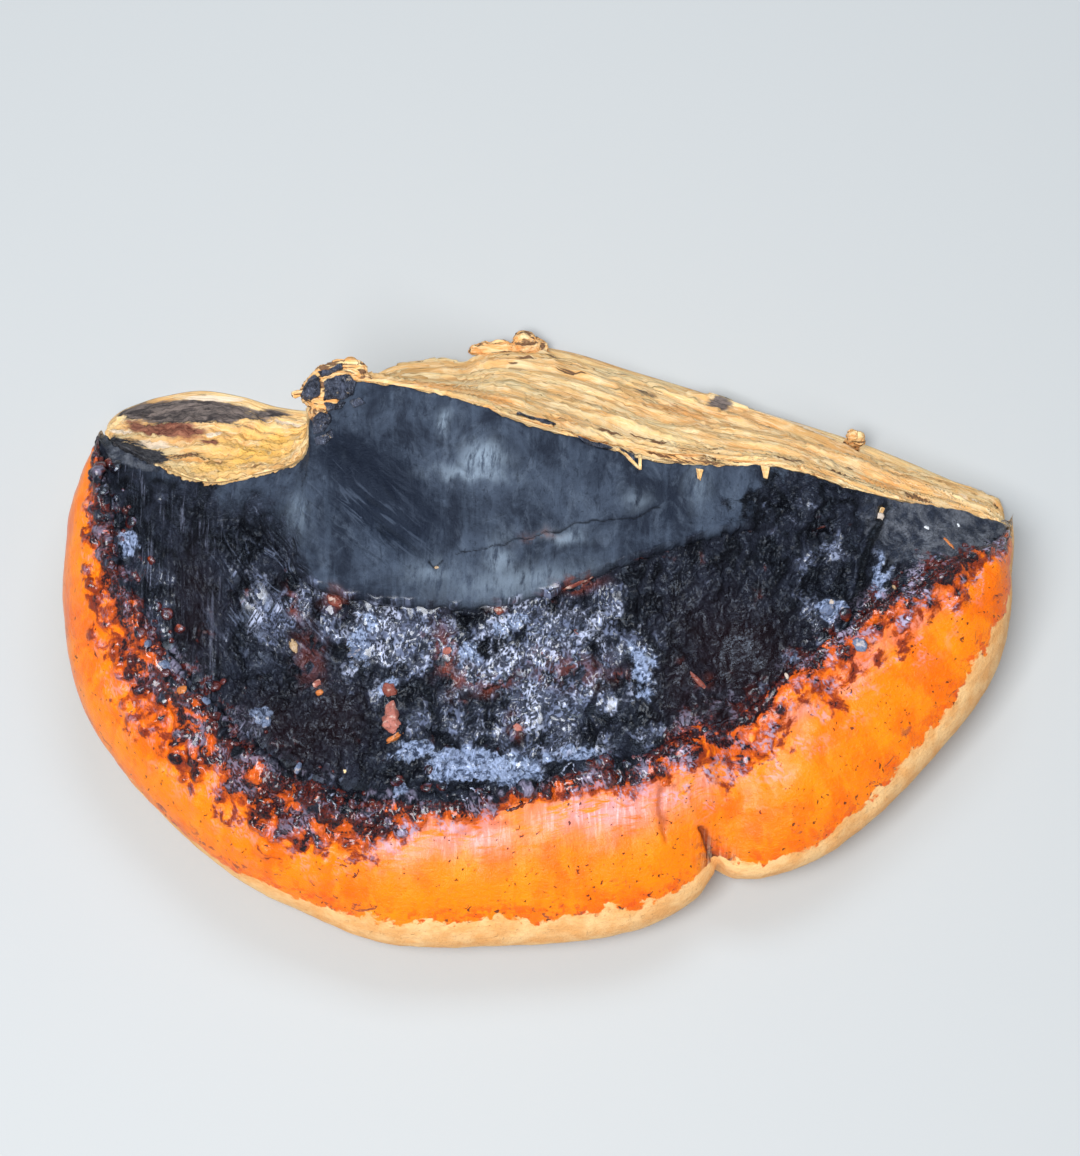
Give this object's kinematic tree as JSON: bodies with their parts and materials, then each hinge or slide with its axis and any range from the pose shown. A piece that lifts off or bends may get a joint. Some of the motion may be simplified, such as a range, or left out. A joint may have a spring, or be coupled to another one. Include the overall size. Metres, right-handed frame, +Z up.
{
  "type": "red-belted conk",
  "caption": "Woody bracket fungus picked from its tree: a fan-shaped cap with a rolled rim and a cleft, a humped top, a torn sloping back and a flat pore face that it lies on.",
  "frame": {"origin": "middle of the bounding box, on the pore face", "axes": "+X along the torn back, to the right of someone who looks at the rim from the front; +Y from the rim to the torn back, towards the tree; +Z up, away from the pore face"},
  "size_m": [0.226, 0.1573, 0.0648],
  "materials": {
    "conk_flesh": "lacquered orange belt, glossy black resin crust, dull grey old crust, cream margin and pore face, dry torn flesh"
  },
  "bodies": {
    "root": {"conk": "conk_flesh"}
  },
  "joints": []
}
